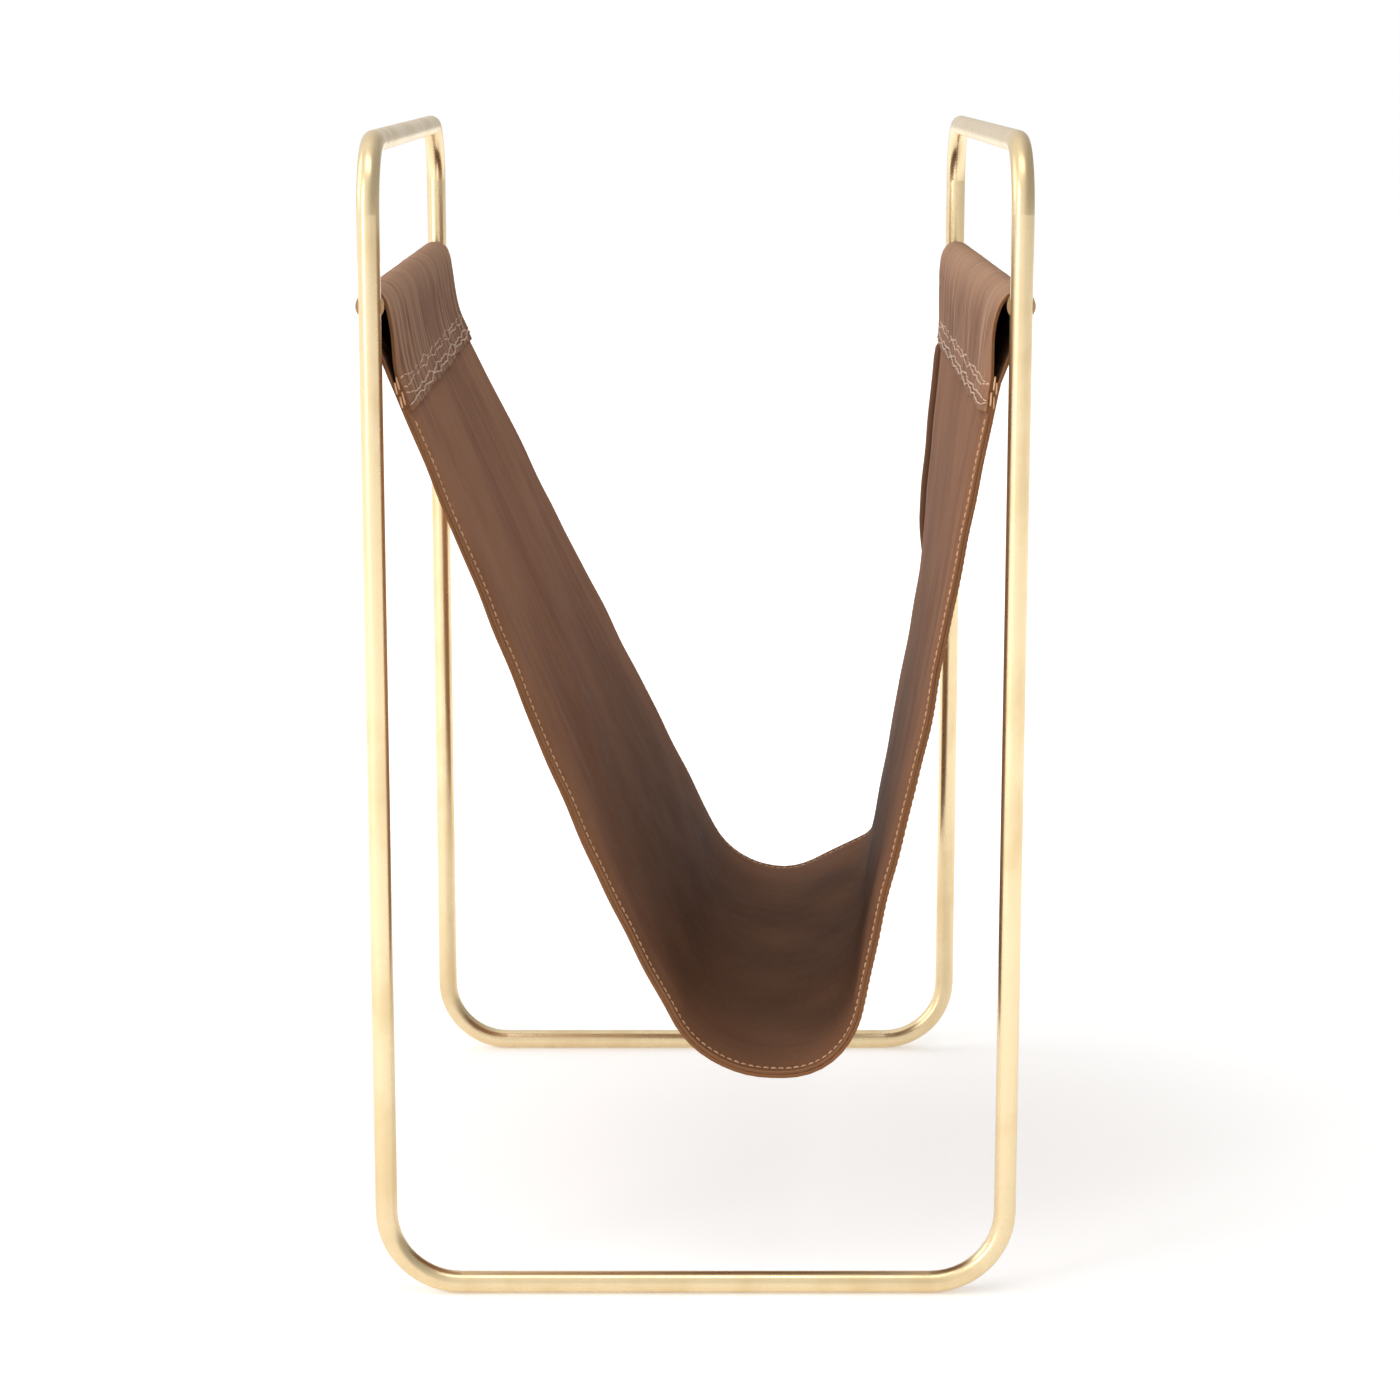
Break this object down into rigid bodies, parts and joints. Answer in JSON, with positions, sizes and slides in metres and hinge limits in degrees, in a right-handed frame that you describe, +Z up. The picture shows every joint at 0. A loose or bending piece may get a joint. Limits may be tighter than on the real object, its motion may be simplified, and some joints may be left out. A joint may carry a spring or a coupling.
{
  "type": "magazine rack",
  "caption": "Free-standing magazine rack: a closed loop of bent brass tube with a leather sling hung between two side rails.",
  "frame": {"origin": "middle of the object at floor level", "axes": "+Z up, +Y from the front legs to the back legs, +X to the right seen from the front; the sling leans over to +X"},
  "size_m": [0.2544, 0.32, 0.45],
  "materials": {
    "brass_tube": "satin brass plate with a fine lengthwise brushed grain",
    "bare_steel": "bare drawn steel",
    "leather": "brown leather with fine streaks and tan raw edges",
    "lining_leather": "brown leather, slightly matt",
    "thread": "light tan waxed thread"
  },
  "bodies": {
    "root": {"frame_left_half": "brass_tube", "frame_right_half": "brass_tube", "front_joint_spigot": "bare_steel", "rear_joint_spigot": "bare_steel", "left_sling_rail": "brass_tube", "right_sling_rail": "brass_tube", "rail_fillets": "brass_tube", "sling_leather": "leather", "sling_lining": "lining_leather", "front_edge_thread": "thread", "rear_edge_thread": "thread", "left_loop_thread": "thread", "right_loop_thread": "thread"}
  },
  "joints": []
}
